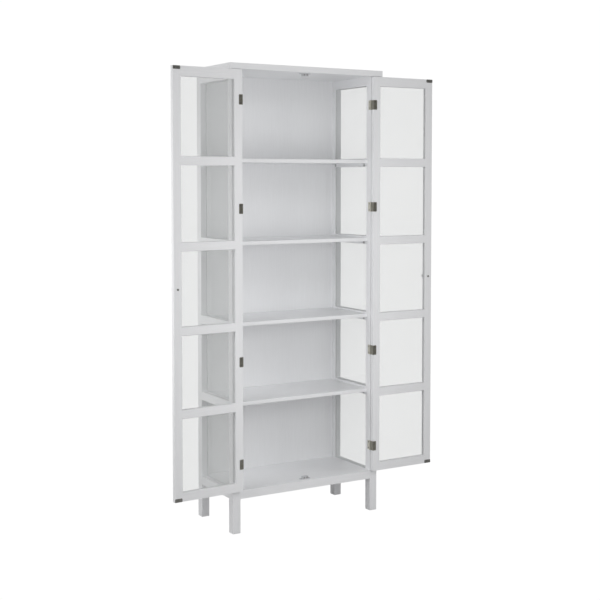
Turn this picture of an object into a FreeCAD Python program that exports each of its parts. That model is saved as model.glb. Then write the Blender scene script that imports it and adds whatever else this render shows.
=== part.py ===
import FreeCAD, Part
import Sketcher
import math
import os
from types import SimpleNamespace
from FreeCAD import Vector

# A tall painted wooden bookcase on four legs, with glazed sides and two glazed doors.
#
# Axes: X to the right, Y to the back, Z up, in millimetres.  The origin lies on the
# floor, midway between the sides, and midway between the back and the foremost point
# of the doors as they stand open.  Depths are measured backwards from the front faces
# of the posts.

SIZES = {
    # carcass
    "case_height": 1900,          # floor to the upper face of the top panel
    "case_width": 704,            # over the outer faces of the posts
    "case_depth": 320,            # front faces of the front posts to the back
    "post_width": 35,             # posts are square
    "top_thickness": 24,
    "top_overhang": 15,           # top panel past the posts, at the sides and in front
    "leg_height": 141,            # floor to the underside of the bottom rails
    "bottom_rail_height": 35,
    "side_top_rail_height": 38,
    "floor_thickness": 16,        # bottom panel
    "back_thickness": 12,         # back panel
    "back_rebate": 9,             # how far the back panel laps onto each rear post
    "arris": 0.8,                 # width of the bevels that ease the edges
    "foot_chamfer": 2,            # bevel round the sole of each leg
    # glazing bars, at the same heights in the doors and in the sides
    "bar_height": 35,
    "level_1": 522,               # middle of the lowest bar
    "level_2": 847,
    "level_3": 1176,
    "level_4": 1510,
    # shelves
    "shelf_thickness": 15,
    "shelf_seat": 4,              # underside of a shelf below the middle of its bar
    "shelf_setback": 21,          # front edge of a shelf behind the posts' faces
    "shelf_clearance": 0.5,       # at the ends and at the back of a shelf
    "support_inset": 29,          # shelf supports from a shelf's front and back edges
    "support_width": 10,
    "support_reach": 12,          # how far a support's tab runs under the shelf
    "support_height": 12,
    "support_thickness": 1.2,
    "peg_radius": 2,
    "peg_length": 9,
    "peg_clearance": 0.05,
    "peg_cover": 0.5,             # of a bar's core below its pegs
    # glazing
    "glass_thickness": 4,
    "glass_rebate": 8,            # width of the rebate that holds glass and beads
    "glass_clearance": 0.5,       # between the edge of a pane and its rebate
    "side_bead_depth": 6,
    "mitre_gap": 0.1,
    "bead_chamfer": 1.5,
    # doors
    "door_thickness": 18,
    "door_lip": 6,                # wood in front of the glass
    "door_end_gap": 2,            # above and below each door
    "meeting_gap": 6,             # between the closed doors
    "hinge_gap": 4,               # between a closed door and its post
    "stile_width": 35,
    "door_top_rail": 40,
    "door_bottom_rail": 36,
    "left_open_angle": 177,       # how far each door stands open
    "right_open_angle": 180,
    # hinges
    "hinge_height": 40,
    "hinge_1_rise": 110,          # middle of the lowest hinge above the door's lower end
    "hinge_2_rise": 526.2,
    "hinge_3_drop": 553.6,
    "hinge_4_drop": 119.5,        # middle of the highest hinge below the door's upper end
    "pivot_out": 2,               # pivot axis in front of the posts' faces
    "pin_radius": 1.2,
    "pin_overhang": 0.3,          # each end of the pin past the barrel
    "pin_fit": 0.01,              # pin in the post's knuckles
    "pin_clearance": 0.05,        # pin in the door's knuckles
    "barrel_radius": 2.4,
    "knuckle_gap": 0.3,
    "leaf_thickness": 1.2,
    "leaf_corner": 2,
    "post_leaf_depth": 17,
    "wrap_width": 16,             # door leaf on the inner face of the hinge stile
    "hinge_screw_spacing": 25,
    # wood screws of the hinges, plates and catches
    "screw_radius": 1.5,
    "screw_head_radius": 2.7,
    "screw_head_rim": 0.2,        # straight edge of the head above its taper
    "screw_length": 12,
    "screw_clearance": 0.05,
    # knobs
    "knob_height": 1011,          # above the floor
    "knob_radius": 9,
    "knob_head_depth": 12,
    "knob_neck_radius": 5,
    "knob_neck_length": 11,
    "knob_screw_radius": 2,
    "knob_screw_bite": 10,        # screw inside the knob
    "knob_screw_head_radius": 4,
    "knob_screw_head_height": 2,
    # strike plates and magnetic catches
    "plate_length": 32,
    "plate_height": 14,
    "plate_thickness": 1.2,
    "plate_corner": 3,
    "plate_screw_inset": 8,
    "catch_gap": 0.3,             # between a closed door's plate and the catch
    "catch_offset": 4,            # catches to the right of the middle
    "catch_width": 26,
    "catch_depth": 14,
    "catch_height": 12,
    "ear_width": 10,
    "ear_thickness": 2.5,
    "magnet_width": 9,
    "magnet_height": 8,
    "magnet_depth": 5,
    "magnet_spacing": 13,
    "magnet_clearance": 0.1,
}

SIDES = {"left": -1, "right": 1}
# flats round the small turned pieces and their holes, and round the hinge barrels
SMALL_FLATS = 6
BARREL_FLATS = 8
# of each hinge; the odd ones from the bottom are the post leaf's, the others the door's
KNUCKLES = 3
# how far a screw's cutter stands proud of the surface, so that it opens the countersink
CUTTER_RISE = 0.5
# lengths and volumes closer than this are taken as equal
TOLERANCE = 1e-3

doc = FreeCAD.newDocument("glazed_bookcase")
sheet = doc.addObject("Spreadsheet::Sheet", "Sizes")
for row, (alias, number) in enumerate(SIZES.items(), start=1):
    sheet.set(f"A{row}", alias)
    sheet.set(f"B{row}", str(number))
    sheet.setAlias(f"B{row}", alias)
doc.recompute()

pieces = {}


# --- lengths as expressions ---------------------------------------------------------

class Term:
    """A length or angle worked out from the sheet, kept as the text of an expression."""

    def __init__(self, text):
        self.text = str(text)

    def __str__(self):
        return self.text

    def __add__(self, other):
        return Term(f"({self} + {other})")

    def __radd__(self, other):
        return Term(f"({other} + {self})")

    def __sub__(self, other):
        return Term(f"({self} - {other})")

    def __rsub__(self, other):
        return Term(f"({other} - {self})")

    def __mul__(self, other):
        return Term(f"({self} * {other})")

    def __rmul__(self, other):
        return Term(f"({other} * {self})")

    def __truediv__(self, other):
        return Term(f"({self} / {other})")

    def __neg__(self):
        return Term(f"(-1 * {self})")


size = SimpleNamespace(**{alias: Term(f"Sizes.{alias}") for alias in SIZES})


def value(term):
    """The number that a term stands for now."""
    return float(sheet.evalExpression(str(term)))


def placed(x, y, z, axis=(0, 0, 1), angle=0):
    """A placement as the text of an expression."""
    along = "; ".join(str(part) for part in axis)
    return f"placement(vector({x}; {y}; {z}); rotation(vector({along}); {angle}))"


# --- sketches and features ----------------------------------------------------------

# the origin plane square to each axis, and the way that its normal points
PLANES = {"X": ("YZ_Plane", 1), "Y": ("XZ_Plane", -1), "Z": ("XY_Plane", 1)}


def new_body(label, pose=None):
    """An empty body; its pose is an expression."""
    body = doc.addObject("PartDesign::Body", label)
    body.Label = label
    if pose is not None:
        body.setExpression("Placement", pose)
    return body


def new_piece(label, pose):
    """An empty body that is a piece of the bookcase."""
    pieces[label] = new_body(label, pose)
    return pieces[label]


def new_sketch(body, axis, offset):
    """An empty sketch square to an axis, its zero point moved by (right, up, along)."""
    role, facing = PLANES[axis]
    plane = next(part for part in body.Origin.OriginFeatures if part.Role == role)
    sketch = body.newObject("Sketcher::SketchObject", f"{body.Name}_sketch")
    sketch.AttachmentSupport = [(plane, "")]
    sketch.MapMode = "FlatFace"
    right, up, along = offset
    sketch.setExpression("AttachmentOffset.Base.x", str(right))
    sketch.setExpression("AttachmentOffset.Base.y", str(up))
    sketch.setExpression("AttachmentOffset.Base.z", str(facing * along))
    return sketch


def constrain(sketch, dimensions):
    """Adds dimensions, each a kind, its geometry and the term that it is bound to."""
    added = [Sketcher.Constraint(kind, *where, value(term)) for kind, where, term in dimensions]
    numbers = sketch.addConstraint(added)
    for number, (kind, where, term) in zip(numbers, dimensions):
        sketch.setExpression(f"Constraints[{number}]", str(term))


def draw_outline(sketch, corners):
    """Draws a closed outline of straight edges through the corners."""
    count = len(corners)
    points = [Vector(value(right), value(up), 0) for right, up in corners]
    edges = [Part.LineSegment(points[i], points[(i + 1) % count]) for i in range(count)]
    lines = sketch.addGeometry(edges)
    joins = [(lines[i], 2, lines[(i + 1) % count], 1) for i in range(count)]
    sketch.addConstraint([Sketcher.Constraint("Coincident", *join) for join in joins])
    rights = [("DistanceX", (line, 1), corner[0]) for line, corner in zip(lines, corners)]
    ups = [("DistanceY", (line, 1), corner[1]) for line, corner in zip(lines, corners)]
    constrain(sketch, rights + ups)


def rectangle(right_1, right_2, up_1, up_2):
    """The corners of a rectangle, in order."""
    return [(right_1, up_1), (right_2, up_1), (right_2, up_2), (right_1, up_2)]


def near_circle(right, up, radius, flats=SMALL_FLATS):
    """The corners of a regular polygon whose flats touch a circle."""
    reach = 1 / math.cos(math.pi / flats)
    turns = [math.tau * (corner + 0.5) / flats for corner in range(flats)]
    return [(right + radius * round(reach * math.cos(angle), 9),
             up + radius * round(reach * math.sin(angle), 9)) for angle in turns]


def prism(body, kind, axis, start, length, outlines):
    """Pads or pockets flat shapes from start, by length, towards the axis's far end."""
    sketch = new_sketch(body, axis, (0, 0, start))
    for corners in outlines:
        draw_outline(sketch, corners)
    feature = body.newObject(f"PartDesign::{kind}", f"{body.Name}_{kind}")
    feature.Profile = sketch
    feature.setExpression("Length", str(length))
    forwards = PLANES[axis][1] == 1
    feature.Reversed = forwards if kind == "Pocket" else not forwards
    return feature


def add(body, axis, start, length, outlines):
    """Pads flat shapes onto a body."""
    return prism(body, "Pad", axis, start, length, outlines)


def cut(body, axis, start, length, outlines):
    """Pockets flat shapes out of a body."""
    return prism(body, "Pocket", axis, start, length, outlines)


def add_block(body, x_span, y_span, z_span):
    """Pads a block between two places on each axis."""
    return add(body, "Z", z_span[0], z_span[1] - z_span[0], [rectangle(*x_span, *y_span)])


def cut_block(body, x_span, y_span, z_span):
    """Pockets a block between two places on each axis."""
    return cut(body, "Z", z_span[0], z_span[1] - z_span[0], [rectangle(*x_span, *y_span)])


def turn(body, axis, centre, profile):
    """Revolves a profile of (radius, height) points about a line along Y or Z."""
    x, y, z = centre
    if axis == "Z":
        sketch = new_sketch(body, "Y", (x, z, y))
    else:
        sketch = new_sketch(body, "Z", (x, y, z))
    draw_outline(sketch, profile)
    feature = body.newObject("PartDesign::Revolution", f"{body.Name}_turned")
    feature.Profile = sketch
    feature.ReferenceAxis = (sketch, ["V_Axis"])
    feature.Angle = 360
    return feature


def ease(body, chosen, width):
    """Bevels the edges of the body's newest feature that chosen picks."""
    doc.recompute()
    base = body.Tip
    names = [f"Edge{i}" for i, edge in enumerate(base.Shape.Edges, start=1) if chosen(edge)]
    feature = body.newObject("PartDesign::Chamfer", f"{body.Name}_bevel")
    feature.Base = (base, names)
    feature.setExpression("Size", str(width))
    return feature


def spans(edge, axis):
    """The lowest and highest place of an edge on an axis."""
    box = edge.BoundBox
    return getattr(box, f"{axis}Min"), getattr(box, f"{axis}Max")


def lies_at(edge, axis, term):
    """Whether the whole edge lies at one place on an axis."""
    return all(abs(place - value(term)) < TOLERANCE for place in spans(edge, axis))


def runs_along(edge, axis):
    """Whether the edge is a line along an axis."""
    return all(spans(edge, other)[1] - spans(edge, other)[0] < TOLERANCE
               for other in "XYZ" if other != axis)


def group(label, master, spots, pose):
    """Copies of a master at several placements, as one object of separate solids."""
    copies = []
    for spot in spots:
        copy = doc.addObject("App::Link", f"{label}_copy")
        copy.LinkedObject = master
        copy.setExpression("Placement", spot)
        copies.append(copy)
    compound = doc.addObject("Part::Compound", label)
    compound.Label = label
    compound.Links = copies
    compound.setExpression("Placement", pose)
    return compound


def drilled(label, blank, cutters):
    """A piece with the holes of its screws cut through it."""
    blank.Label = f"{label}_blank"
    piece = doc.addObject("Part::Cut", label)
    piece.Label = label
    piece.Base = blank
    piece.Tool = cutters
    pieces[label] = piece
    return piece


# --- places that several pieces share -----------------------------------------------

LEVELS = [size.level_1, size.level_2, size.level_3, size.level_4]

half_width = size.case_width / 2
half_opening = half_width - size.post_width
ceiling = size.case_height - size.top_thickness
floor = size.leg_height + size.bottom_rail_height
back_face = size.case_depth - size.back_thickness
rear_post = size.case_depth - size.post_width

door_width = (half_opening * 2 - size.hinge_gap * 2 - size.meeting_gap) / 2
door_edge = size.hinge_gap / 2
door_end = door_edge + door_width
door_low = floor + size.door_end_gap
door_high = ceiling - size.door_end_gap
door_inner = size.pivot_out + size.door_thickness
HINGES = [door_low + size.hinge_1_rise, door_low + size.hinge_2_rise,
          door_high - size.hinge_3_drop, door_high - size.hinge_4_drop]

# the left door stands furthest forward, so it sets the front of the bounding box
opening_rise = Term(f"sin(180 - {size.left_open_angle})") * door_end
doors_reach = size.pivot_out + door_inner + size.plate_thickness + opening_rise
origin_depth = (size.case_depth - doors_reach) / 2
CASE = placed(0, -origin_depth, 0)


def pivot_pose(side, angle=0):
    """The frame of a door's pivot axis, turned by the angle that the door is open."""
    x = SIDES[side] * (half_opening - door_edge)
    return placed(x, -(origin_depth + size.pivot_out), 0, angle=SIDES[side] * angle)


DOORS = {"left": pivot_pose("left", size.left_open_angle),
         "right": pivot_pose("right", size.right_open_angle)}
PIVOTS = {side: pivot_pose(side) for side in SIDES}


# --- screws -------------------------------------------------------------------------

def screw_master(label, clearance, rise):
    """A countersunk screw, its head level with height 0, or a cutter for its hole."""
    body = new_body(label)
    taper = size.screw_head_radius - size.screw_radius
    neck = -(taper + size.screw_head_rim + clearance)
    end = -(size.screw_length + clearance)
    head = near_circle(0, 0, size.screw_head_radius + clearance)
    add(body, "Z", neck, rise - neck, [head])
    ease(body, lambda edge: lies_at(edge, "Z", neck), taper)
    shank = near_circle(0, 0, size.screw_radius + clearance)
    add(body, "Z", end, neck - end, [shank])
    return body


screw = screw_master("screw_master", 0, 0)
screw_cutter = screw_master("screw_cutter_master", size.screw_clearance, CUTTER_RISE)


def screw_group(label, spots, pose):
    """A group of screws, and the same group of cutters for their holes."""
    pieces[label] = group(label, screw, spots, pose)
    return group(f"{label}_cutters", screw_cutter, spots, pose)


# --- glazed frames ------------------------------------------------------------------

def fields_between(low, high):
    """The heights of the glazed fields between two rails, from the lowest up."""
    lows = [low] + [level + size.bar_height / 2 for level in LEVELS]
    highs = [level - size.bar_height / 2 for level in LEVELS] + [high]
    return list(zip(lows, highs))


class GlazedFrame:
    """A frame of laths with glass in rebates, held by mitred beads.

    Its own x runs across from near to far, times sign, and its own y from the outer
    face, past the lip and the glass, to the inner face.
    """

    def __init__(self, prefix, pose, sign, face, depth, lip, near, far):
        self.prefix = prefix
        self.pose = pose
        self.sign = sign
        self.face = face
        self.glass_face = face + lip
        self.bead_face = face + lip + size.glass_thickness
        self.inner = face + depth
        self.near = near
        self.far = far

    def across(self, grow):
        """Both ends of the sight opening, moved outwards by grow."""
        return self.sign * (self.near - grow), self.sign * (self.far + grow)

    def rails(self, name, members):
        """Cross members (low, high, rebated below, rebated above) lapped onto the posts."""
        body = new_piece(f"{self.prefix}_{name}", self.pose)
        fronts = [rectangle(*self.across(0), low, high) for low, high, below, above in members]
        add(body, "Y", self.face, self.glass_face - self.face, fronts)
        backs = [rectangle(*self.across(size.glass_rebate),
                           low + size.glass_rebate * below, high - size.glass_rebate * above)
                 for low, high, below, above in members]
        add(body, "Y", self.glass_face, self.inner - self.glass_face, backs)
        return body

    def bars(self):
        """The glazing bars, one at each level."""
        half = size.bar_height / 2
        return self.rails("glazing_bars", [(mid - half, mid + half, 1, 1) for mid in LEVELS])

    def glass(self, fields):
        """One pane in each field."""
        lap = size.glass_rebate - size.glass_clearance
        body = new_piece(f"{self.prefix}_glass", self.pose)
        panes = [rectangle(*self.across(lap), low - lap, high + lap) for low, high in fields]
        add(body, "Y", self.glass_face, size.glass_thickness, panes)

    def beads(self, fields):
        """Four mitred beads behind each pane."""
        body = new_piece(f"{self.prefix}_glazing_beads", self.pose)
        strips = [strip for low, high in fields for strip in self.bead_outlines(low, high)]
        add(body, "Y", self.bead_face, self.inner - self.bead_face, strips)
        sides = self.across(0)
        ends = [end for field in fields for end in field]
        ease(body, lambda edge: lies_at(edge, "Y", self.inner)
             and (any(lies_at(edge, "X", place) for place in sides)
                  or any(lies_at(edge, "Z", place) for place in ends)),
             size.bead_chamfer)

    def bead_outlines(self, low, high):
        """The four strips round one field, seen square on, with a hairline at each mitre."""
        lap = size.glass_rebate
        gap = size.mitre_gap
        left, right = self.near, self.far

        def strip(corners):
            return [(self.sign * across, up) for across, up in corners]

        sill = [(left - lap + gap, low - lap), (right + lap - gap, low - lap),
                (right - gap, low), (left + gap, low)]
        head = [(left - lap + gap, high + lap), (right + lap - gap, high + lap),
                (right - gap, high), (left + gap, high)]
        near_jamb = [(left - lap, low - lap + gap), (left - lap, high + lap - gap),
                     (left, high - gap), (left, low + gap)]
        far_jamb = [(right + lap, low - lap + gap), (right + lap, high + lap - gap),
                    (right, high - gap), (right, low + gap)]
        return [strip(corners) for corners in (sill, head, near_jamb, far_jamb)]


# --- carcass ------------------------------------------------------------------------

def side_rebate(side):
    """The x span of the rebate for the side glass, open to the inside of the case."""
    outer = half_opening + size.side_bead_depth + size.glass_thickness
    return SIDES[side] * half_opening, SIDES[side] * outer


def post_blank(label, side, front):
    """A square post with eased corners, a bevelled sole and the rebate for the side glass."""
    body = new_body(label, CASE)
    x_span = (SIDES[side] * half_opening, SIDES[side] * half_width)
    add_block(body, x_span, (front, front + size.post_width), (0, ceiling))
    ease(body, lambda edge: lies_at(edge, "Z", 0), size.foot_chamfer)
    ease(body, lambda edge: runs_along(edge, "Z"), size.arris)
    return body


def rear_posts():
    """The rear posts, rebated for the side glass and for the back panel."""
    for side in SIDES:
        body = post_blank(f"rear_{side}_post", side, rear_post)
        pieces[body.Label] = body
        cut_block(body, side_rebate(side), (rear_post, rear_post + size.glass_rebate),
                  (size.leg_height, ceiling))
        lap = (SIDES[side] * half_opening, SIDES[side] * (half_opening + size.back_rebate))
        cut_block(body, lap, (back_face, size.case_depth), (size.leg_height, ceiling))


def front_posts(cutters):
    """The front posts, rebated for the side glass and drilled for the hinge screws."""
    for side in SIDES:
        body = post_blank(f"front_{side}_post", side, 0)
        inner = size.post_width - size.glass_rebate
        cut_block(body, side_rebate(side), (inner, size.post_width), (size.leg_height, ceiling))
        drilled(f"front_{side}_post", body, cutters)


def panels(cutters):
    """The top, bottom and back panels; the top is drilled for the catch's screws."""
    top = new_body("top_panel", CASE)
    reach = half_width + size.top_overhang
    add_block(top, (-reach, reach), (-size.top_overhang, size.case_depth),
              (ceiling, size.case_height))
    ease(top, lambda edge: True, size.arris)
    drilled("top_panel", top, cutters)

    bottom = new_piece("bottom_panel", CASE)
    add_block(bottom, (-half_opening, half_opening), (size.post_width, rear_post),
              (floor - size.floor_thickness, floor))

    back = new_piece("back_panel", CASE)
    reach = half_opening + size.back_rebate
    add_block(back, (-reach, reach), (back_face, size.case_depth), (size.leg_height, ceiling))


def bottom_rails(cutters):
    """The front and rear rails under the case; the front one carries a catch."""
    span = (-half_opening, half_opening)
    height = (size.leg_height, floor)
    rear = new_piece("rear_bottom_rail", CASE)
    add_block(rear, span, (rear_post, back_face), height)
    front = new_body("front_bottom_rail", CASE)
    add_block(front, span, (0, size.post_width), height)
    drilled("front_bottom_rail", front, cutters)


def support_places():
    """Where the shelf supports stand behind the posts' front faces."""
    front = size.shelf_setback + size.support_inset
    rear = back_face - size.shelf_clearance - size.support_inset
    return [front, rear]


def peg_drop():
    """A peg's axis below the middle of its bar: as low as the bar's core allows."""
    return size.bar_height / 2 - size.glass_rebate - size.peg_radius - size.peg_cover


def glazed_sides():
    """The glazed sides between the posts: rails, bars, glass and beads."""
    lip = size.post_width - size.side_bead_depth - size.glass_thickness
    for side, sign in SIDES.items():
        pose = placed(sign * half_width, -origin_depth, 0, angle=sign * 90)
        frame = GlazedFrame(f"{side}_side", pose, sign, 0, size.post_width, lip,
                            size.post_width, rear_post)
        low_end = floor
        high_end = ceiling - size.side_top_rail_height
        frame.rails("bottom_rail", [(size.leg_height, low_end, 0, 1)])
        frame.rails("top_rail", [(high_end, ceiling, 1, 0)])
        bars = frame.bars()
        start = size.post_width - size.peg_length - size.peg_clearance
        radius = size.peg_radius + size.peg_clearance
        holes = [near_circle(sign * place, level - peg_drop(), radius)
                 for level in LEVELS for place in support_places()]
        cut(bars, "Y", start, size.peg_length + size.peg_clearance, holes)
        fields = fields_between(low_end, high_end)
        frame.glass(fields)
        frame.beads(fields)


def shelves():
    """The loose shelves, numbered from the lowest."""
    reach = half_opening - size.shelf_clearance
    y_span = (size.shelf_setback, back_face - size.shelf_clearance)
    for number, level in enumerate(LEVELS, start=1):
        underside = level - size.shelf_seat
        body = new_piece(f"shelf_{number}", CASE)
        add_block(body, (-reach, reach), y_span, (underside, underside + size.shelf_thickness))
        ease(body, lambda edge: lies_at(edge, "Y", size.shelf_setback), size.arris)


def shelf_supports():
    """Angle supports pegged into the side bars, a tab of each under its shelf."""
    master = new_body("shelf_support_master")
    half = size.support_width / 2
    thickness = size.support_thickness
    add_block(master, (-thickness, 0), (-half, half), (-size.support_height, 0))
    add_block(master, (-size.support_reach, -thickness), (-half, half), (-thickness, 0))
    peg = near_circle(0, size.shelf_seat - peg_drop(), size.peg_radius)
    add(master, "X", 0, size.peg_length, [peg])
    spots = []
    for side, sign in SIDES.items():
        for level in LEVELS:
            for place in support_places():
                spots.append(placed(sign * half_opening, place, level - size.shelf_seat,
                                    angle=90 - 90 * sign))
    pieces["shelf_supports"] = group("shelf_supports", master, spots, CASE)


# --- doors --------------------------------------------------------------------------

def door_frame(side, fields, cutters):
    """One door's stiles, rails, bars, glass and beads."""
    sign = -SIDES[side]
    pose = DOORS[side]
    near = door_edge + size.stile_width
    far = door_end - size.stile_width
    frame = GlazedFrame(f"{side}_door", pose, sign, size.pivot_out, size.door_thickness,
                        size.door_lip, near, far)
    height = (door_low, door_high)
    depth = (size.pivot_out, door_inner)
    rebate_depth = (frame.glass_face, door_inner)
    stiles = {"hinge_stile": (door_edge, near, near - size.glass_rebate, near, door_edge),
              "meeting_stile": (far, door_end, far, far + size.glass_rebate, door_end)}
    for name, (start, end, rebate_start, rebate_end, edge_place) in stiles.items():
        blank = new_body(f"{side}_door_{name}_blank", pose)
        add_block(blank, (sign * start, sign * end), depth, height)
        ease(blank, lambda edge: lies_at(edge, "X", sign * edge_place), size.arris)
        cut_block(blank, (sign * rebate_start, sign * rebate_end), rebate_depth, height)
        if name == "meeting_stile":
            middle = sign * (far + size.stile_width / 2)
            hole = near_circle(middle, size.knob_height,
                               size.knob_screw_radius + size.screw_clearance)
            cut(blank, "Y", size.pivot_out, size.door_thickness, [hole])
        drilled(f"{side}_door_{name}", blank, cutters)
    rails = {"top_rail": (door_high - size.door_top_rail, door_high, 1, 0),
             "bottom_rail": (door_low, door_low + size.door_bottom_rail, 0, 1)}
    for name, member in rails.items():
        drilled(f"{side}_door_{name}", frame.rails(name, [member]), cutters)
    frame.bars()
    frame.glass(fields)
    frame.beads(fields)


def knob(side):
    """The turned knob on the meeting stile and the screw that holds it from inside."""
    sign = -SIDES[side]
    middle = sign * (door_end - size.stile_width / 2)
    neck = size.knob_neck_radius
    rim = size.knob_radius
    back = -size.knob_neck_length
    face = back - size.knob_head_depth
    body = new_piece(f"{side}_door_knob", DOORS[side])
    turn(body, "Y", (middle, size.pivot_out, size.knob_height),
         [(0, 0), (neck, 0), (neck, back), (rim, back), (rim, face), (0, face)])
    bite = size.knob_screw_bite + size.screw_clearance
    bore = near_circle(middle, size.knob_height, size.knob_screw_radius + size.screw_clearance)
    cut(body, "Y", size.pivot_out - bite, bite, [bore])

    fixing = new_piece(f"{side}_door_knob_screw", DOORS[side])
    shank = near_circle(middle, size.knob_height, size.knob_screw_radius)
    add(fixing, "Y", size.pivot_out - size.knob_screw_bite,
        size.knob_screw_bite + size.door_thickness, [shank])
    head = near_circle(middle, size.knob_height, size.knob_screw_head_radius)
    add(fixing, "Y", door_inner, size.knob_screw_head_height, [head])


def strike_plates(side, cutters):
    """The steel plates that the catches hold, at the top and bottom of the meeting stile."""
    sign = -SIDES[side]
    body = new_body(f"{side}_door_strike_plates_blank", DOORS[side])
    x_span = (sign * (door_end - size.plate_length), sign * door_end)
    tops = (door_low + size.plate_height, door_high)
    plates = [rectangle(*x_span, top - size.plate_height, top) for top in tops]
    add(body, "Y", door_inner, size.plate_thickness, plates)
    ease(body, lambda edge: runs_along(edge, "Y"), size.plate_corner)
    drilled(f"{side}_door_strike_plates", body, cutters)


def plate_screw_spots(side):
    """Two screws in each strike plate, square to the door's inner face."""
    sign = -SIDES[side]
    spots = []
    for middle in (door_low + size.plate_height / 2, door_high - size.plate_height / 2):
        for place in (door_end - size.plate_screw_inset,
                      door_end - size.plate_length + size.plate_screw_inset):
            spots.append(placed(sign * place, door_inner + size.plate_thickness, middle,
                                axis=(1, 0, 0), angle=-90))
    return spots


# --- hinges -------------------------------------------------------------------------

def knuckle_slots(numbers, gap):
    """The (y, z) outlines that clear the knuckles with these numbers off a leaf."""
    pitch = size.hinge_height / KNUCKLES
    clear = size.barrel_radius + size.knuckle_gap
    lows = [pitch * number - size.hinge_height / 2 for number in numbers]
    return [rectangle(-clear, clear, low - gap, low + pitch + gap) for low in lows]


def leaf_blank(label, sign, plate, bore, missing, gap):
    """A hinge leaf: a barrel and a bent plate, with every other knuckle cut away."""
    body = new_body(label)
    low = -size.hinge_height / 2
    clear = size.barrel_radius + size.knuckle_gap
    add(body, "Z", low, size.hinge_height,
        [near_circle(0, 0, size.barrel_radius, BARREL_FLATS),
         near_circle(0, 0, size.pin_radius + bore, BARREL_FLATS)])
    add(body, "Z", low, size.hinge_height, [[(sign * across, back) for across, back in plate]])
    cut(body, "X", -clear, clear * 2, knuckle_slots(missing, gap))
    return body


def post_hinge_leaves(side, cutters):
    """The leaves on the post's inner face, which carry the pins."""
    sign = -SIDES[side]
    root = (size.pin_radius + size.barrel_radius) / 2
    end = size.pivot_out + size.post_leaf_depth
    plate = rectangle(-door_edge, size.leaf_thickness - door_edge, root, end)
    others = range(1, KNUCKLES, 2)
    leaf = leaf_blank(f"{side}_post_leaf_master", sign, plate, size.pin_fit, others, 0)
    ease(leaf, lambda edge: runs_along(edge, "X") and lies_at(edge, "Y", end), size.leaf_corner)
    leaves = group(f"{side}_post_hinge_leaves", leaf, hinge_spots(), PIVOTS[side])
    drilled(f"{side}_post_hinge_leaves", leaves, cutters)


def door_hinge_leaves(side, cutters):
    """The leaves on the door's edge, wrapped round onto its inner face."""
    sign = -SIDES[side]
    root = (size.pin_radius + size.barrel_radius) / 2
    face = door_inner + size.leaf_thickness
    near = door_edge - size.leaf_thickness
    end = door_edge + size.wrap_width
    plate = [(near, root), (door_edge, root), (door_edge, door_inner), (end, door_inner),
             (end, face), (near, face)]
    others = range(0, KNUCKLES, 2)
    leaf = leaf_blank(f"{side}_door_leaf_master", sign, plate, size.pin_clearance, others,
                      size.knuckle_gap)
    ease(leaf, lambda edge: runs_along(edge, "Y") and lies_at(edge, "X", sign * end),
         size.leaf_corner)
    leaves = group(f"{side}_door_hinge_leaves", leaf, hinge_spots(), DOORS[side])
    drilled(f"{side}_door_hinge_leaves", leaves, cutters)


def hinge_spots():
    """The middle of each hinge on its pivot axis."""
    return [placed(0, 0, height) for height in HINGES]


def hinge_pins():
    """Round pins, held by the post's knuckles."""
    master = new_body("hinge_pin_master")
    end = size.hinge_height / 2 + size.pin_overhang
    radius = size.pin_radius
    turn(master, "Z", (0, 0, 0), [(0, -end), (radius, -end), (radius, end), (0, end)])
    for side in SIDES:
        name = f"{side}_hinge_pins"
        pieces[name] = group(name, master, hinge_spots(), PIVOTS[side])


def screw_heights():
    """The heights of the two screws in every hinge leaf."""
    half = size.hinge_screw_spacing / 2
    return [place for height in HINGES for place in (height - half, height + half)]


def post_screw_spots():
    """Two screws through each post leaf, square to the post's inner face."""
    back = (size.barrel_radius + size.knuckle_gap + size.pivot_out + size.post_leaf_depth) / 2
    spots = []
    for side, sign in SIDES.items():
        x = sign * (half_opening - size.leaf_thickness)
        spots += [placed(x, back - size.pivot_out, height, axis=(0, 1, 0), angle=-90 * sign)
                  for height in screw_heights()]
    return spots


def door_screw_spots(side):
    """Two screws through each door leaf, square to the door's inner face."""
    sign = -SIDES[side]
    x = sign * (door_edge + size.wrap_width / 2)
    return [placed(x, door_inner + size.leaf_thickness, height, axis=(1, 0, 0), angle=-90)
            for height in screw_heights()]


# --- catches ------------------------------------------------------------------------

# the board that each catch is screwed to, and the way up or down from it
CATCH_SEATS = {"top": (ceiling, -1), "bottom": (floor, 1)}
# the catches start just behind the strike plates of the closed doors
catch_front = size.door_thickness + size.plate_thickness + size.catch_gap


def catch_screw_spots():
    """A screw through each ear of both catches."""
    spots = []
    for seat, away in CATCH_SEATS.values():
        for side in SIDES.values():
            x = size.catch_offset + side * (size.catch_width + size.ear_width) / 2
            spots.append(placed(x, catch_front + size.catch_depth / 2,
                                seat + away * size.ear_thickness,
                                axis=(1, 0, 0), angle=90 - 90 * away))
    return spots


def magnet_outlines(seat, away, clearance):
    """The faces of a catch's two magnets, seen from the front, grown by a clearance."""
    half_wide = size.magnet_width / 2 + clearance
    half_high = size.magnet_height / 2 + clearance
    z = seat + away * size.catch_height / 2
    places = [size.catch_offset + side * size.magnet_spacing / 2 for side in SIDES.values()]
    return [rectangle(x - half_wide, x + half_wide, z - half_high, z + half_high)
            for x in places]


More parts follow.
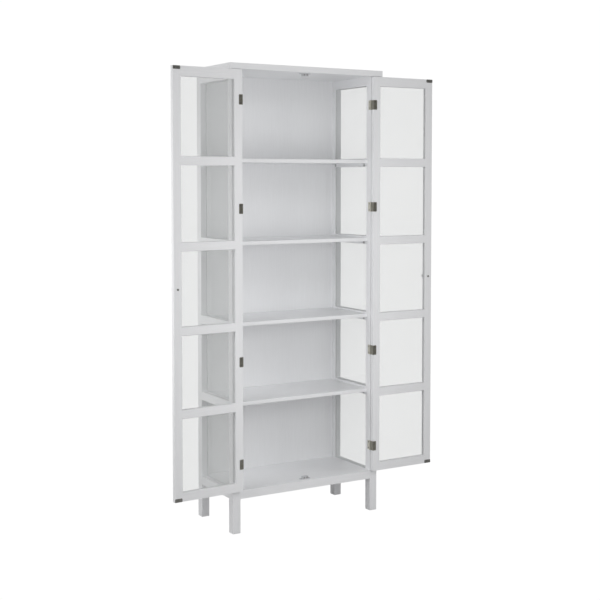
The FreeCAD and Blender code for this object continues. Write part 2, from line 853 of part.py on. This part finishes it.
def catches(cutters):
    """The magnetic catches under the top panel and on the front bottom rail."""
    middle = size.catch_offset
    y_span = (catch_front, catch_front + size.catch_depth)
    reach = size.catch_width / 2
    ear = reach + size.ear_width
    faces = []
    for name, (seat, away) in CATCH_SEATS.items():
        blank = new_body(f"{name}_catch_body", CASE)
        for half, height in ((reach, size.catch_height), (ear, size.ear_thickness)):
            z_span = (seat, seat + height) if away == 1 else (seat - height, seat)
            add_block(blank, (middle - half, middle + half), y_span, z_span)
        cut(blank, "Y", catch_front, size.magnet_depth + size.magnet_clearance,
            magnet_outlines(seat, away, size.magnet_clearance))
        drilled(f"{name}_catch_body", blank, cutters)
        faces += magnet_outlines(seat, away, 0)
    magnets = new_piece("catch_magnets", CASE)
    add(magnets, "Y", catch_front, size.magnet_depth, faces)


# --- the bookcase -------------------------------------------------------------------

def build():
    """Makes every piece."""
    post_cutters = screw_group("post_hinge_screws", post_screw_spots(), CASE)
    catch_cutters = screw_group("catch_screws", catch_screw_spots(), CASE)
    front_posts(post_cutters)
    rear_posts()
    panels(catch_cutters)
    bottom_rails(catch_cutters)
    glazed_sides()
    shelves()
    shelf_supports()
    catches(catch_cutters)
    hinge_pins()
    rail_low = door_low + size.door_bottom_rail
    rail_high = door_high - size.door_top_rail
    for side in SIDES:
        spots = door_screw_spots(side) + plate_screw_spots(side)
        cutters = screw_group(f"{side}_door_fitting_screws", spots, DOORS[side])
        door_frame(side, fields_between(rail_low, rail_high), cutters)
        post_hinge_leaves(side, post_cutters)
        door_hinge_leaves(side, cutters)
        strike_plates(side, cutters)
        knob(side)


def check():
    """Stops if an object failed, a pocket cut nothing or a piece isn't sound."""
    for item in doc.Objects:
        if "Invalid" in item.State or "Error" in item.State:
            raise RuntimeError(f"{item.Label} failed: {item.State}")
        if item.TypeId == "PartDesign::Pocket":
            if item.Shape.Volume > item.BaseFeature.Shape.Volume - TOLERANCE:
                raise RuntimeError(f"{item.Label} cuts nothing")
    for label, piece in pieces.items():
        if piece.Shape.isNull() or not piece.Shape.isValid():
            raise RuntimeError(f"{label} has no sound shape")


build()
doc.recompute()
check()
os.makedirs("parts", exist_ok=True)
for label, piece in pieces.items():
    piece.Shape.exportStep(f"parts/{label}.step")
print(f"{len(pieces)} nodes, {sum(len(piece.Shape.Solids) for piece in pieces.values())} solids")
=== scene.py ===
import math

import bmesh
import bpy
from mathutils import Matrix, Vector


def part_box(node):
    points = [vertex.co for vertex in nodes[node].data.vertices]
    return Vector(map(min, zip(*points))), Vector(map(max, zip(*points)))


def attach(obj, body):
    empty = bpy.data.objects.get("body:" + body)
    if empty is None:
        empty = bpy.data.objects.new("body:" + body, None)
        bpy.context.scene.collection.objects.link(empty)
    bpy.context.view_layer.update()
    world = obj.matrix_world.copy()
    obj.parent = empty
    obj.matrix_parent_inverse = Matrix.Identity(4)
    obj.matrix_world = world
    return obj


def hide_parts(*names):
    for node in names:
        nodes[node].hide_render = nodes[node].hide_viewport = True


# A tall white bookcase with glazed sides and two glazed doors that stand open.
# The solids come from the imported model.  This script gives them their finishes, puts
# finely rounded knobs, plates and screws where the model has plain ones, lays round
# barrels over the flat-sided hinge knuckles, and sets up the studio.  Lengths are in metres.

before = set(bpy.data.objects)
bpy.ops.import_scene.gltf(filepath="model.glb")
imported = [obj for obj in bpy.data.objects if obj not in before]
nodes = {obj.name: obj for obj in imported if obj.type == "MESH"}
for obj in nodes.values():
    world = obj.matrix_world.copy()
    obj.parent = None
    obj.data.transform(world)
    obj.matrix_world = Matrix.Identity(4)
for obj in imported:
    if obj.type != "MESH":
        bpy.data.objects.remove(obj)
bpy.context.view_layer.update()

MM = 0.001
SIDES = ("left", "right")
X, Y, Z = range(3)
UP = Vector((0, 0, 1))


# --- building materials -------------------------------------------------------------

EVEN = (1.0, 1.0, 1.0)    # noise that is drawn out along no axis


class Shading:
    """A material's node tree, filled from its output backwards."""

    def __init__(self, name):
        self.material = bpy.data.materials.new(name)
        self.material.use_nodes = True
        self.tree = self.material.node_tree
        self.tree.nodes.clear()
        self.output = self.tree.nodes.new("ShaderNodeOutputMaterial")
        self.place = self.tree.nodes.new("ShaderNodeTexCoord").outputs["Object"]

    def give(self, socket, given):
        """Sets a socket to a number or colour, or links it to another node's output."""
        if isinstance(given, bpy.types.NodeSocket):
            self.tree.links.new(given, socket)
        else:
            socket.default_value = given

    def node(self, kind, **inputs):
        """A new node; inputs are numbers, colours or the outputs of other nodes."""
        made = self.tree.nodes.new(kind)
        for name, given in inputs.items():
            self.give(made.inputs[name.replace("_", " ")], given)
        return made

    def stretched(self, scale):
        """Object coordinates scaled along each axis."""
        return self.node("ShaderNodeMapping", Vector=self.place, Scale=scale).outputs["Vector"]

    def noise(self, scale, detail=2.0, roughness=0.5, along=EVEN):
        """Noise from 0 to 1, its grain drawn out along an axis by a small factor there."""
        return self.node("ShaderNodeTexNoise", Vector=self.stretched(along), Scale=scale,
                         Detail=detail, Roughness=roughness).outputs["Fac"]

    def spread(self, source, low=0.0, high=1.0):
        """The usual reach of noise mapped onto another range."""
        return self.node("ShaderNodeMapRange", Value=source, From_Min=0.3, From_Max=0.7,
                         To_Min=low, To_Max=high).outputs["Result"]

    def blend(self, amount, first, second):
        """Two colours mixed by an amount."""
        made = self.tree.nodes.new("ShaderNodeMix")
        made.data_type = "RGBA"
        for number, given in ((0, amount), (6, first), (7, second)):
            self.give(made.inputs[number], given)
        return made.outputs[2]

    def bump(self, height, distance, strength, normal=None):
        """The normal of a bumpy surface, on top of the bumps of another."""
        made = self.node("ShaderNodeBump", Height=height, Distance=distance, Strength=strength)
        if normal is not None:
            self.tree.links.new(normal, made.inputs["Normal"])
        return made.outputs["Normal"]

    def mix(self, amount, first, second):
        """Two shaders mixed by an amount."""
        made = self.tree.nodes.new("ShaderNodeMixShader")
        for number, given in enumerate((amount, first, second)):
            self.tree.links.new(given, made.inputs[number])
        return made.outputs["Shader"]

    def finish(self, shader):
        """Connects the last shader and gives the material back."""
        self.tree.links.new(shader, self.output.inputs["Surface"])
        return self.material


# how far one unit of warmth moves red, green and blue
WARM_LEANS = (0.6, 0.25, -1.0)


def grey(level, warmth):
    """A near-neutral colour; warmth above 0 leans it to yellow, below 0 to blue."""
    return (*(level * (1 + lean * warmth) for lean in WARM_LEANS), 1.0)


PAINT = 0.967                    # how light the paint is
PAINT_TINT = -0.011
PAINT_CLOUDS = (0.985, 1.012)    # broad clouds and printed fibres, as shares of that
PAINT_FIBRE = 0.957
FIBRE_SHOW = 0.9
GRAIN_DRAW = 0.06                # the scale of the fibres along the grain


def paint(name, axis, level=PAINT):
    """Satin paint sprayed on wood, with the grain faintly printed through along an axis."""
    shading = Shading(name)
    along = list(EVEN)
    along[axis] = GRAIN_DRAW
    dark, light = (grey(level * share, PAINT_TINT) for share in PAINT_CLOUDS)
    cloud = shading.spread(shading.noise(scale=2.2, detail=3.0))
    base = shading.blend(cloud, dark, light)
    fibres = shading.noise(scale=150.0, detail=4.0, roughness=0.6, along=along)
    veil = shading.spread(fibres, high=FIBRE_SHOW)
    colour = shading.blend(veil, base, grey(level * PAINT_FIBRE, PAINT_TINT))
    peel = shading.noise(scale=520.0)
    rough = shading.spread(shading.noise(scale=36.0, detail=3.0), low=0.40, high=0.50)
    normal = shading.bump(fibres, distance=0.00012, strength=0.25)
    normal = shading.bump(peel, distance=0.00006, strength=0.25, normal=normal)
    shader = shading.node("ShaderNodeBsdfPrincipled", Base_Color=colour, Roughness=rough,
                          IOR=1.46, Normal=normal)
    return shading.finish(shader.outputs["BSDF"])


CLEAN_GLASS = (0.900, 0.906, 0.904, 1.0)
FILMED_GLASS = (0.886, 0.892, 0.890, 1.0)
GLASS_SHADOW = (0.93, 0.94, 0.938, 1.0)
GLASS_CLEARNESS = 0.88           # dust scatters the rest of the light


def glass(name):
    """Clear float glass that lets the lamps through, a little dusty."""
    shading = Shading(name)
    film = shading.spread(shading.noise(scale=14.0, detail=4.0))
    tint = shading.blend(film, CLEAN_GLASS, FILMED_GLASS)
    pane = shading.node("ShaderNodeBsdfPrincipled", Base_Color=tint, Roughness=0.0, IOR=1.5,
                        Transmission_Weight=GLASS_CLEARNESS)
    clear = shading.node("ShaderNodeBsdfTransparent", Color=GLASS_SHADOW)
    shadow = shading.node("ShaderNodeLightPath").outputs["Is Shadow Ray"]
    return shading.finish(shading.mix(shadow, pane.outputs["BSDF"], clear.outputs["BSDF"]))


def metal(name, level, warmth, rough, stain=0.25, brush=(1.0, 1.0, 0.04), shine=1.0,
          cloud_scale=90.0, cloud_draw=EVEN):
    """Plated or bare steel with brush marks, darkened by a stain in clouds or streaks.

    The marks and the clouds are drawn out by brush and cloud_draw; shine is how much of
    the surface answers as metal and not as a dull coat.
    """
    shading = Shading(name)
    cloud = shading.spread(shading.noise(cloud_scale, detail=4.0, roughness=0.6,
                                         along=cloud_draw))
    dull = grey(level * (1 - stain), warmth * 1.4)
    colour = shading.blend(cloud, dull, grey(level, warmth))
    marks = shading.noise(scale=1500.0, detail=3.0, roughness=0.6, along=brush)
    roughness = shading.spread(marks, low=rough * 0.8, high=rough * 1.25)
    normal = shading.bump(marks, distance=0.00003, strength=0.4)
    shader = shading.node("ShaderNodeBsdfPrincipled", Base_Color=colour, Roughness=roughness,
                          Metallic=shine, Normal=normal)
    return shading.finish(shader.outputs["BSDF"])


def moulded(name, level, warmth, rough):
    """Moulded plastic or sintered ferrite with a fine even texture."""
    shading = Shading(name)
    cloud = shading.spread(shading.noise(scale=60.0, detail=3.0))
    colour = shading.blend(cloud, grey(level * 0.94, warmth), grey(level * 1.04, warmth))
    speck = shading.noise(scale=2600.0)
    normal = shading.bump(speck, distance=0.00004, strength=0.5)
    roughness = shading.spread(speck, low=rough * 0.9, high=rough * 1.1)
    shader = shading.node("ShaderNodeBsdfPrincipled", Base_Color=colour, Roughness=roughness,
                          Normal=normal)
    return shading.finish(shader.outputs["BSDF"])


# --- materials of the nodes ---------------------------------------------------------

PAINTS = {axis: paint(f"satin_paint_grain_{'xyz'[axis]}", axis) for axis in (X, Y, Z)}
# the knobs take the carcass paint made 3% darker: painted shade
KNOB_PAINT = paint("satin_paint_knob", Y, PAINT * 0.97)
GLASS = glass("float_glass")
# the hinges are one nickel plate in two copies: the door leaves and pins get a dark copy, which
# is painted shade, and the post leaves and all barrels a light, mostly dull copy, whose
# lightness is painted light standing in for the plate's reflection
SHADED_HINGE_STEEL = metal("nickel_plate_painted_shade", 0.34, 0.10, 0.34, shine=0.8)
LIT_HINGE_STEEL = metal("nickel_plate_painted_light", 0.86, 0.10, 0.3, stain=0.62, shine=0.3,
                   cloud_scale=300.0, cloud_draw=(1.0, 1.0, 0.03))
SCREW_STEEL = metal("screw_steel", 0.36, 0.05, 0.3, brush=EVEN)
SUPPORT_STEEL = metal("zinc_plate", 0.62, 0.0, 0.38)
PLATE_STEEL = metal("dark_steel", 0.30, 0.04, 0.36, stain=0.55, brush=(0.04, 1.0, 1.0),
                    shine=0.5)
FERRITE = moulded("ferrite", 0.36, 0.0, 0.6)
PLASTIC = moulded("grey_plastic", 0.64, -0.03, 0.42)

# the finish of a node by the end of its name; what isn't listed is painted
FINISHES = [
    ("glass", GLASS),
    # post leaves take the light copy of the hinge plate (painted light), door leaves and pins
    # the dark copy (painted shade)
    ("post_hinge_leaves", LIT_HINGE_STEEL),
    ("door_hinge_leaves", SHADED_HINGE_STEEL),
    ("hinge_pins", SHADED_HINGE_STEEL),
    ("screws", SCREW_STEEL),
    ("knob_screw", SCREW_STEEL),
    ("shelf_supports", SUPPORT_STEEL),
    ("strike_plates", PLATE_STEEL),
    ("catch_magnets", FERRITE),
    ("catch_body", PLASTIC),
    ("knob", KNOB_PAINT),
]


def grain_axis(name):
    """The axis along which the grain of a painted node runs: that of its longest side."""
    if name.endswith("_glazing_bars"):
        return Y if "_side_" in name else X
    low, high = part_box(name)
    spans = high - low
    return max((X, Y, Z), key=lambda axis: spans[axis])


for name, node in nodes.items():
    chosen = next((material for ending, material in FINISHES if name.endswith(ending)), None)
    node.data.materials.clear()
    node.data.materials.append(chosen or PAINTS[grain_axis(name)])


# --- places taken from the solids ---------------------------------------------------

SAME_CORNER = 1e-6        # corners closer than this are one
TIP_SPAN = 0.2 * MM       # corners this close to a screw's farthest one are its tip


def solids_of(name):
    """The corners of each separate solid of a node, always in the same order."""
    made = bmesh.new()
    made.from_mesh(nodes[name].data)
    bmesh.ops.remove_doubles(made, verts=made.verts, dist=SAME_CORNER)
    unseen = set(made.verts)
    solids = []
    for start in made.verts:
        if start not in unseen:
            continue
        unseen.remove(start)
        solid = []
        rim = [start]
        while rim:
            corner = rim.pop()
            solid.append(corner.co.copy())
            for edge in corner.link_edges:
                other = edge.other_vert(corner)
                if other in unseen:
                    unseen.remove(other)
                    rim.append(other)
        solids.append(solid)
    made.free()
    return solids


def middle(corners):
    """The mean of some corners."""
    return sum(corners, Vector()) / len(corners)


def extent(corners, origin, direction):
    """How far some corners reach along a direction from an origin."""
    places = [(corner - origin).dot(direction) for corner in corners]
    return min(places), max(places)


def screw_axis(solid):
    """The tip of a screw, its direction towards the head, and its length."""
    centre = middle(solid)
    reach = max((corner - centre).length for corner in solid)
    tip = middle([corner for corner in solid if (corner - centre).length > reach - TIP_SPAN])
    direction = (centre - tip).normalized()
    return tip, direction, extent(solid, tip, direction)[1]


def standing(place, direction):
    """The matrix that stands a local Z axis at a place, along a direction."""
    return Matrix.Translation(place) @ direction.to_track_quat("Z", "Y").to_matrix().to_4x4()


# --- turned and pressed pieces ------------------------------------------------------

TURN_STEPS = 40
SHARP = math.radians(32)
CROSS_TAPER = 0.7         # the bottom of a screw's cross against its mouth


def around(count):
    """The numbers of the corners of a closed ring, each with the one after it."""
    return [(here, (here + 1) % count) for here in range(count)]


def lathe(made, place, profile):
    """Turns (radius, height) points about a local Z axis; gives the rings of corners."""
    angles = [math.tau * step / TURN_STEPS for step in range(TURN_STEPS)]
    rings = []
    for radius, height in profile:
        spots = [(0, 0)]
        if radius:
            spots = [(radius * math.cos(a), radius * math.sin(a)) for a in angles]
        rings.append([made.verts.new(place @ Vector((x, y, height))) for x, y in spots])
    for first, second in zip(rings, rings[1:]):
        for here, there in around(TURN_STEPS):
            corners = [first[here % len(first)], first[there % len(first)],
                       second[there % len(second)], second[here % len(second)]]
            made.faces.new(list(dict.fromkeys(corners)))
    return rings


def arc(centre, radius, start, end, steps=6):
    """Points (radius, height) on an arc, its angles in degrees."""
    angles = [math.radians(start + (end - start) * step / steps) for step in range(steps + 1)]
    return [(centre[0] + radius * math.cos(a), centre[1] + radius * math.sin(a))
            for a in angles]


def cross_face(made, place, ring, reach, width, height, depth):
    """Closes the top of a screw's head with a face that has a cross-shaped recess."""
    half = width / 2
    arm = [Vector((reach, -half, 0)), Vector((reach, half, 0)), Vector((half, half, 0))]
    quarters = [Matrix.Rotation(math.pi / 2 * quarter, 4, "Z") for quarter in range(4)]
    outline = [quarter @ corner for quarter in quarters for corner in arm]
    upper = [made.verts.new(place @ Vector((p.x, p.y, height))) for p in outline]
    lower = [made.verts.new(place @ Vector((p.x * CROSS_TAPER, p.y * CROSS_TAPER,
                                            height - depth))) for p in outline]
    for here, there in around(len(outline)):
        made.faces.new((upper[here], lower[here], lower[there], upper[there]))
    made.faces.new(lower)
    edges = [made.edges.get((corners[here], corners[there]))
             for corners in (upper, ring) for here, there in around(len(corners))]
    bmesh.ops.triangle_fill(made, use_beauty=True, edges=edges)


def piece_from(name, made, material, body, slot, *replaced):
    """A piece of the object from a bmesh in the object's own place."""
    bmesh.ops.recalc_face_normals(made, faces=made.faces)
    mesh = bpy.data.meshes.new(name)
    made.to_mesh(mesh)
    made.free()
    mesh.materials.append(material)
    mesh.polygons.foreach_set("use_smooth", [True] * len(mesh.polygons))
    mesh.set_sharp_from_angle(angle=SHARP)
    piece = bpy.data.objects.new(name, mesh)
    bpy.context.scene.collection.objects.link(piece)
    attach(piece, body)
    if replaced:
        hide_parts(*replaced)


HEAD_RADIUS = 3.1 * MM
HEAD_DOME = 0.12 * MM
HEAD_LIP = 0.03 * MM
HEAD_DEPTH = 1.6 * MM
HEAD_MIDDLE = HEAD_RADIUS * 0.66      # the flat middle that holds the cross
HEAD_CROSS_REACH = HEAD_MIDDLE * 0.88
HEAD_CROSS_WIDTH = HEAD_RADIUS * 0.3
HEAD_CROSS_DEPTH = HEAD_DEPTH * 0.6
SHANK_RADIUS = 1.4 * MM
SHANK_SHARE = 0.8                     # the rest of the length is the point


def countersunk_screws(name, body):
    """Round cross-headed screws in the place of a node's plain ones."""
    made = bmesh.new()
    for solid in solids_of(name):
        tip, direction, length = screw_axis(solid)
        place = standing(tip + direction * length, direction)
        rings = lathe(made, place, [(0, -length), (SHANK_RADIUS, -length * SHANK_SHARE),
                                    (SHANK_RADIUS, -HEAD_DEPTH), (HEAD_RADIUS, 0),
                                    (HEAD_RADIUS, HEAD_LIP), (HEAD_MIDDLE, HEAD_DOME)])
        cross_face(made, place, rings[-1], HEAD_CROSS_REACH, HEAD_CROSS_WIDTH, HEAD_DOME,
                   HEAD_CROSS_DEPTH)
    piece_from(f"{name}_fine", made, SCREW_STEEL, body, "screw_steel", name)


PAN_HEAD = 2.0 * MM
PAN_RADIUS = 4.2 * MM
PAN_ROUND = 1 * MM
PAN_SHANK = 2 * MM
PAN_MIDDLE = PAN_RADIUS * 0.62
PAN_CROSS_REACH = PAN_MIDDLE * 0.86
PAN_CROSS_WIDTH = 1.1 * MM
PAN_CROSS_DEPTH = 1.3 * MM


def pan_screw(side):
    """The pan-headed screw that holds a knob from inside."""
    body = f"{side}_door"
    screw_name = f"{body}_knob_screw"
    tip, direction, length = screw_axis(solids_of(screw_name)[0])
    made = bmesh.new()
    head = standing(tip + direction * (length - PAN_HEAD), direction)
    rings = lathe(made, head, [(0, PAN_HEAD - length), (PAN_SHANK, PAN_HEAD - length),
                               (PAN_SHANK, 0), (PAN_RADIUS, 0)]
                  + arc((PAN_RADIUS - PAN_ROUND, PAN_ROUND), PAN_ROUND, 0, 70)
                  + [(PAN_MIDDLE, PAN_HEAD)])
    cross_face(made, head, rings[-1], PAN_CROSS_REACH, PAN_CROSS_WIDTH, PAN_HEAD,
               PAN_CROSS_DEPTH)
    piece_from(f"{screw_name}_fine", made, SCREW_STEEL, body, "screw_steel", screw_name)


KNOB_RADIUS = 9 * MM
KNOB_THICKNESS = 12 * MM
KNOB_BACK_ROUND = 1.2 * MM
KNOB_FACE_ROUND = 3.2 * MM
NECK_RADIUS = 5 * MM
NECK_FILLET = 1 * MM
FOOT_RADIUS = 5.6 * MM
FOOT_HEIGHT = 1.2 * MM


def turned_knob(side):
    """The turned knob with a foot, a neck and a rounded rim."""
    body = f"{side}_door"
    tip, direction, _ = screw_axis(solids_of(f"{body}_knob_screw")[0])
    corners = [corner.co for corner in nodes[f"{body}_knob"].data.vertices]
    face, foot = extent(corners, tip, direction)
    height = foot - face
    neck_end = height - KNOB_THICKNESS
    made = bmesh.new()
    lathe(made, standing(tip + direction * foot, -direction),
          [(0, 0), (FOOT_RADIUS, 0), (NECK_RADIUS, FOOT_HEIGHT),
           (NECK_RADIUS, neck_end - NECK_FILLET)]
          + arc((NECK_RADIUS + NECK_FILLET, neck_end - NECK_FILLET), NECK_FILLET, 180, 90, 4)
          + arc((KNOB_RADIUS - KNOB_BACK_ROUND, neck_end + KNOB_BACK_ROUND), KNOB_BACK_ROUND,
                -90, 0, 5)
          + arc((KNOB_RADIUS - KNOB_FACE_ROUND, height - KNOB_FACE_ROUND), KNOB_FACE_ROUND,
                0, 90, 9)
          + [(0, height)])
    piece_from(f"{body}_knob_turned", made, KNOB_PAINT, body, "painted_knob", f"{body}_knob")


PLATE_CORNER = 3 * MM
PLATE_ARRIS = 0.25 * MM


def rounded_outline(width, height, radius, inset):
    """A rectangle about the middle with round corners, drawn in by an inset."""
    outline = []
    for start, right, up in ((0, 1, 1), (90, -1, 1), (180, -1, -1), (270, 1, -1)):
        centre = (right * (width / 2 - radius), up * (height / 2 - radius))
        outline += arc(centre, radius - inset, start, start + 90)
    return outline


def strike_plates(side):
    """The two plates on a door's inner face, with round corners and an eased rim."""
    body = f"{side}_door"
    tip, inwards, _ = screw_axis(solids_of(f"{body}_knob_screw")[0])
    across = UP.cross(inwards)
    turned = Matrix((across, UP, inwards)).transposed().to_4x4()
    made = bmesh.new()
    for solid in solids_of(f"{body}_strike_plates"):
        right = extent(solid, tip, across)
        up = extent(solid, tip, UP)
        out = extent(solid, tip, inwards)
        thickness = out[1] - out[0]
        origin = tip + across * (sum(right) / 2) + UP * (sum(up) / 2) + inwards * out[0]
        place = Matrix.Translation(origin) @ turned
        rings = []
        for inset, height in ((0, 0), (0, thickness - PLATE_ARRIS), (PLATE_ARRIS, thickness)):
            outline = rounded_outline(right[1] - right[0], up[1] - up[0], PLATE_CORNER, inset)
            rings.append([made.verts.new(place @ Vector((x, y, height))) for x, y in outline])
        for first, second in zip(rings, rings[1:]):
            for here, there in around(len(first)):
                made.faces.new((first[here], first[there], second[there], second[here]))
        made.faces.new(rings[0])
        made.faces.new(rings[-1])
    piece_from(f"{body}_strike_plates_pressed", made, PLATE_STEEL, body, "dark_steel",
               f"{body}_strike_plates")


BARREL_RADIUS = 2.6 * MM
BARREL_EASE = 0.25 * MM
BARREL_RIM = BARREL_RADIUS - BARREL_EASE
KNUCKLES = 3
PIN_OVERHANG = 0.3 * MM
KNUCKLE_GAP = 0.3 * MM
COVER = 0.02 * MM         # how far a barrel reaches over the ends of its knuckle


def hinge_barrels(side):
    """Round knuckles over the flat-sided ones: two on each post leaf, one on each door leaf."""
    for leaf, body, numbers, gap in (("post", "cabinet", (0, 2), 0.0),
                                     ("door", f"{side}_door", (1,), KNUCKLE_GAP)):
        made = bmesh.new()
        for pin in solids_of(f"{side}_hinge_pins"):
            centre = middle(pin)
            low, high = extent(pin, centre, UP)
            knuckle = (high - low - PIN_OVERHANG * 2) / KNUCKLES
            height = knuckle - gap * 2 + COVER * 2
            for number in numbers:
                start = low + PIN_OVERHANG + knuckle * number + gap - COVER
                lathe(made, Matrix.Translation(centre + UP * start),
                      [(0, 0), (BARREL_RIM, 0), (BARREL_RADIUS, BARREL_EASE),
                       (BARREL_RADIUS, height - BARREL_EASE), (BARREL_RIM, height),
                       (0, height)])
        # all barrels take the light copy of the hinge plate: painted light
        piece_from(f"{side}_{leaf}_hinge_barrels", made, LIT_HINGE_STEEL, body, "hinge_steel")


for screws, body in (("post_hinge_screws", "cabinet"), ("catch_screws", "cabinet"),
                     ("left_door_fitting_screws", "left_door"),
                     ("right_door_fitting_screws", "right_door")):
    countersunk_screws(screws, body)
for side in SIDES:
    pan_screw(side)
    turned_knob(side)
    strike_plates(side)
    hinge_barrels(side)


# --- studio -------------------------------------------------------------------------

BACKDROP = 1.02           # the background, as strong as white or a little more
SKY_LIGHT = 0.24
FLOOR_SHADES = (0.59, 0.61)
FLOOR_REACH = 60.0
FLOOR_DROP = 0.5 * MM


def seen_by_viewer(tree):
    """1 for rays that the viewer sees straight or through glass, 0 for rays that light."""
    path = tree.nodes.new("ShaderNodeLightPath").outputs
    through = tree.nodes.new("ShaderNodeMath")
    through.operation = "SUBTRACT"
    through.use_clamp = True
    tree.links.new(path["Is Transmission Ray"], through.inputs[0])
    tree.links.new(path["Diffuse Depth"], through.inputs[1])
    seen = tree.nodes.new("ShaderNodeMath")
    seen.operation = "MAXIMUM"
    tree.links.new(path["Is Camera Ray"], seen.inputs[0])
    tree.links.new(through.outputs["Value"], seen.inputs[1])
    return seen.outputs["Value"]


def floor_material():
    """A pale seamless floor that runs into the background."""
    shading = Shading("studio_floor")
    cloud = shading.spread(shading.noise(scale=1.5, detail=3.0), *FLOOR_SHADES)
    colour = shading.node("ShaderNodeCombineColor", Red=cloud, Green=cloud, Blue=cloud)
    pale = shading.node("ShaderNodeBsdfPrincipled", Base_Color=colour.outputs["Color"],
                        Roughness=0.9, Specular_IOR_Level=0.0)
    bright = shading.node("ShaderNodeEmission", Strength=BACKDROP)
    seen = seen_by_viewer(shading.tree)
    return shading.finish(shading.mix(seen, pale.outputs["BSDF"], bright.outputs["Emission"]))


bpy.ops.mesh.primitive_plane_add(size=FLOOR_REACH, location=(0, 0, -FLOOR_DROP))
floor = bpy.context.object
floor.name = "studio_floor"
floor.data.materials.append(floor_material())

scene = bpy.context.scene
world = bpy.data.worlds.new("studio")
scene.world = world
world.use_nodes = True
tree = world.node_tree
tree.nodes.clear()
out = tree.nodes.new("ShaderNodeOutputWorld")
sky = tree.nodes.new("ShaderNodeBackground")
sky.inputs["Color"].default_value = (1.0, 1.0, 1.0, 1.0)
strength = tree.nodes.new("ShaderNodeMapRange")
strength.inputs["To Min"].default_value = SKY_LIGHT
strength.inputs["To Max"].default_value = BACKDROP
tree.links.new(seen_by_viewer(tree), strength.inputs["Value"])
tree.links.new(strength.outputs["Result"], sky.inputs["Strength"])
tree.links.new(sky.outputs["Background"], out.inputs["Surface"])

# name, place, the point it is turned to, width, height, watts
LAMPS = [
    ("near", (-0.05, -0.95, 1.05), (-0.05, 0.1, 1.05), 0.5, 1.7, 2.0),
    ("front", (-0.25, -1.9, 1.1), (-0.1, 0.0, 1.1), 0.8, 0.8, 6.0),
    ("high", (-0.3, -2.0, 2.5), (0.0, 0.1, 0.9), 1.4, 0.5, 3.8),
    ("side", (-1.3, 0.2, 1.12), (0.2, 0.0, 1.12), 0.4, 1.2, 4.2),
    ("left", (-3.6, -0.8, 2.2), (0.0, 0.0, 1.0), 2.2, 2.2, 36.0),
    ("right", (3.4, -2.6, 1.8), (0.0, 0.0, 1.0), 2.2, 2.2, 28.0),
    ("rear", (1.2, 3.4, 2.2), (0.0, 0.0, 1.0), 2.4, 2.4, 45.0),
]


def softbox(name, place, target, width, height, power):
    """A rectangular lamp turned towards a point, itself out of sight."""
    light = bpy.data.lights.new(name, "AREA")
    light.shape = "RECTANGLE"
    light.size = width
    light.size_y = height
    light.energy = power
    lamp = bpy.data.objects.new(name, light)
    scene.collection.objects.link(lamp)
    lamp.location = place
    lamp.rotation_euler = (Vector(target) - Vector(place)).to_track_quat("-Z", "Y").to_euler()
    lamp.visible_camera = False
    lamp.visible_transmission = False
    lamp.visible_glossy = False


for lamp in LAMPS:
    softbox(*lamp)

scene.view_settings.view_transform = "Standard"
scene.view_settings.look = "None"


# --- camera -------------------------------------------------------------------------

# worked out from the posts, doors and bars as they stand in the picture; the photograph
# was taken level with a vertical shift, and a part of that shift is made a tilt here
PICTURE_SIDE = 600
FOCAL_PIXELS = 1158.9
SENSOR = 36.0
HORIZON_ROW = 179.93
YAW = math.radians(30.858)
PITCH = math.radians(3.0)
CAMERA_PLACE = (-2.4926, -4.2520, 1.4354)

camera_data = bpy.data.cameras.new("camera")
camera_data.sensor_width = SENSOR
camera_data.lens = SENSOR * FOCAL_PIXELS / PICTURE_SIDE
horizon_rise = PICTURE_SIDE / 2 - HORIZON_ROW
camera_data.shift_y = -(horizon_rise - FOCAL_PIXELS * math.tan(PITCH)) / PICTURE_SIDE
camera = bpy.data.objects.new("camera", camera_data)
scene.collection.objects.link(camera)
camera.location = CAMERA_PLACE
camera.rotation_euler = (math.pi / 2 - PITCH, 0.0, -YAW)
scene.camera = camera
